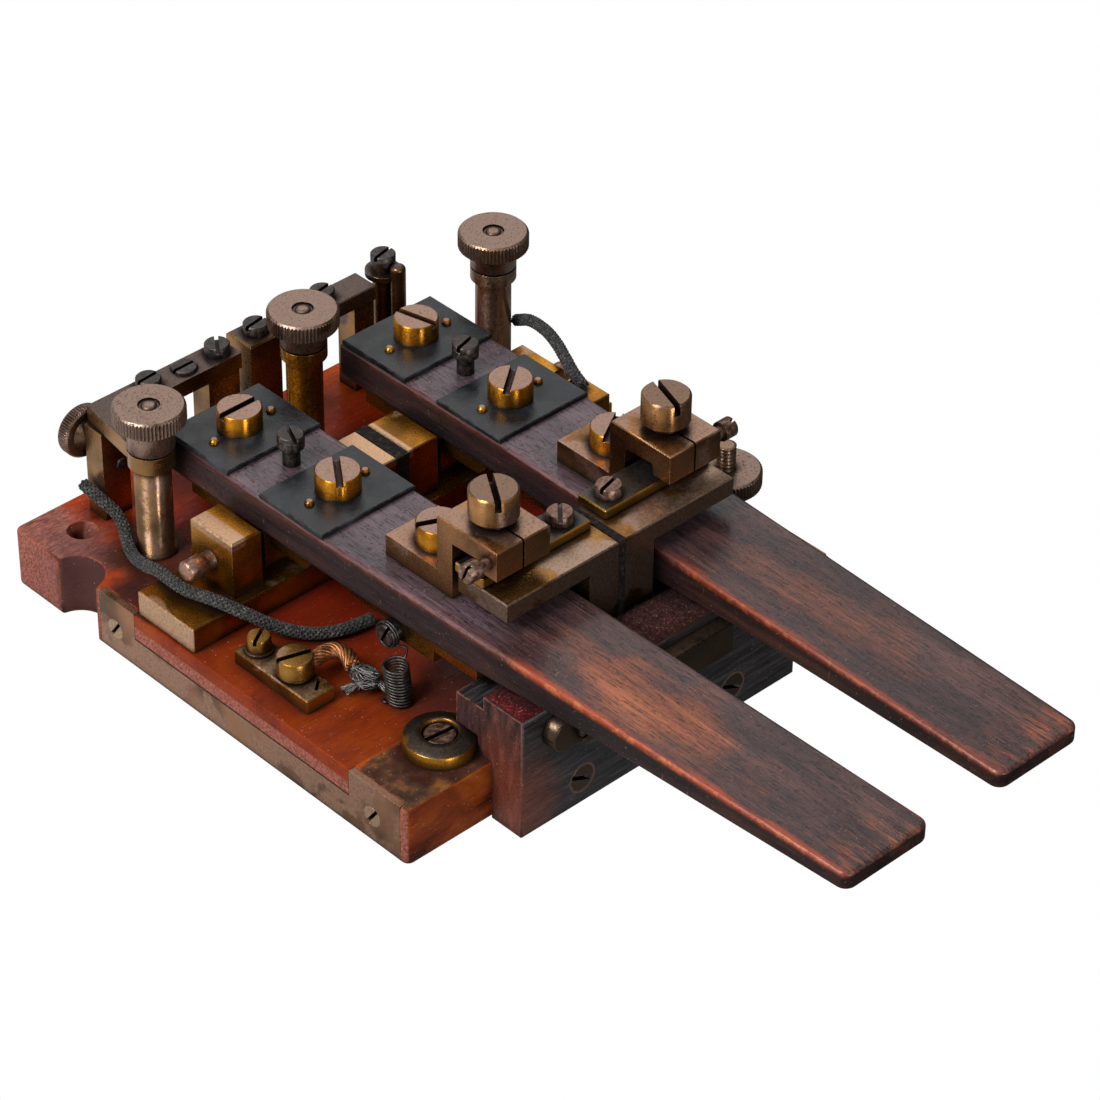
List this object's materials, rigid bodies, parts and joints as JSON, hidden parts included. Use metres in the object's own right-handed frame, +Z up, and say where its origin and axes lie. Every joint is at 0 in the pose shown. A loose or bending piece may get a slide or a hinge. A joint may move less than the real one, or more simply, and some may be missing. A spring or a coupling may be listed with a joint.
{
  "type": "morse key",
  "caption": "Antique double-lever telegraph key: wooden finger levers in brass bearings on a mahogany base, with contact bridges, terminals and cables.",
  "frame": {"origin": "centre of the underside of the wooden base board", "axes": "+X to the operator's right, +Y away from the operator towards the rear terminals, +Z up; the two levers lie either side of the plane x = 0 and their paddles point to -Y"},
  "size_m": [0.133, 0.2372, 0.0738],
  "materials": {
    "mahogany": "varnished mahogany, worn",
    "rosewood": "satin dark rosewood, worn edges",
    "dark_wood": "dark stained hardwood",
    "felt": "crimson felt",
    "brass": "aged lacquered brass",
    "strip_brass": "speckled unpolished brass",
    "steel": "blued steel, worn",
    "ebonite": "satin black ebonite",
    "copper": "copper-coloured metal",
    "braid": "woven cotton braid over wire",
    "wire": "dull wire, close coiled"
  },
  "bodies": {
    "base": {"base_board": "mahogany", "left_edge_strip": "strip_brass", "right_edge_strip": "strip_brass", "front_and_strip_screws": "steel", "bar_screws": "steel", "corner_cup_screws": "steel", "front_rest_block": "dark_wood", "felt_pad": "felt", "felt_retainer_bar": "brass", "left_bridge": "brass", "right_bridge": "brass", "contact_strips": "brass", "left_pivot_bracket": "brass", "right_pivot_bracket": "brass", "inner_bearings": "brass", "left_post": "brass", "middle_post": "brass", "right_post": "brass", "rear_left_bar": "brass", "rear_bar_feet": "brass", "rear_centre_block": "brass", "rear_right_bar": "brass", "rear_right_pillar": "brass", "corner_cups": "brass", "terminal_block": "brass", "terminal_screws": "brass", "side_post": "brass", "cable_block": "brass", "bridge_insulator": "ebonite", "centre_insulator": "ebonite", "cable_lug": "copper", "pivot_screws": "copper", "left_cable": "braid", "right_cable": "braid", "left_flex_lead": "wire", "right_flex_lead": "wire"},
    "left_lever_body": {"left_lever": "rosewood", "left_lever_plates": "ebonite", "left_clamp_screws": "brass", "left_plate_pins": "brass", "left_pivot_saddle": "brass", "left_contact_bar": "brass", "left_contact_arm": "brass", "left_small_screws": "steel"},
    "left_adjuster": {"left_adjusting_screw": "brass"},
    "right_lever_body": {"right_lever": "rosewood", "right_lever_plates": "ebonite", "right_clamp_screws": "brass", "right_plate_pins": "brass", "right_pivot_saddle": "brass", "right_contact_bar": "brass", "right_contact_arm": "brass", "right_small_screws": "steel"},
    "right_adjuster": {"right_adjusting_screw": "brass"},
    "left_post_knob_body": {"left_post_knob": "brass"},
    "middle_post_knob_body": {"middle_post_knob": "brass"},
    "right_post_knob_body": {"right_post_knob": "brass"},
    "rear_thumb_screw_body": {"rear_thumb_screw": "brass"},
    "side_thumb_nut_body": {"side_thumb_nut": "brass"}
  },
  "joints": [
    {"name": "left_lever_hinge", "type": "hinge", "parent": "base", "child": "left_lever_body", "pos_m": [-0.0268, 0.0143, 0.0299], "axis": [1, 0, 0], "range_deg": [-2.4, 0.8], "deforming": ["left_flex_lead"]},
    {"name": "left_adjuster_turn", "type": "hinge", "parent": "left_lever_body", "child": "left_adjuster", "pos_m": [-0.026, -0.0525, 0.07], "axis": [0, 0, 1], "continuous": true},
    {"name": "right_lever_hinge", "type": "hinge", "parent": "base", "child": "right_lever_body", "pos_m": [0.0268, 0.0143, 0.0299], "axis": [1, 0, 0], "range_deg": [-2.4, 0.8], "deforming": ["right_flex_lead"]},
    {"name": "right_adjuster_turn", "type": "hinge", "parent": "right_lever_body", "child": "right_adjuster", "pos_m": [0.026, -0.0525, 0.07], "axis": [0, 0, 1], "continuous": true},
    {"name": "left_post_knob_turn", "type": "hinge", "parent": "base", "child": "left_post_knob_body", "pos_m": [-0.0467, 0.0403, 0.054], "axis": [0, 0, 1], "continuous": true},
    {"name": "middle_post_knob_turn", "type": "hinge", "parent": "base", "child": "middle_post_knob_body", "pos_m": [0.0015, 0.0428, 0.057], "axis": [0, 0, 1], "continuous": true},
    {"name": "right_post_knob_turn", "type": "hinge", "parent": "base", "child": "right_post_knob_body", "pos_m": [0.0568, 0.0372, 0.057], "axis": [0, 0, 1], "continuous": true},
    {"name": "rear_thumb_screw_turn", "type": "hinge", "parent": "base", "child": "rear_thumb_screw_body", "pos_m": [-0.0466, 0.066, 0.036], "axis": [0, 1, 0], "continuous": true},
    {"name": "side_thumb_nut_turn", "type": "hinge", "parent": "base", "child": "side_thumb_nut_body", "pos_m": [0.0546, -0.0446, 0.0326], "axis": [0, 0, 1], "continuous": true}
  ]
}
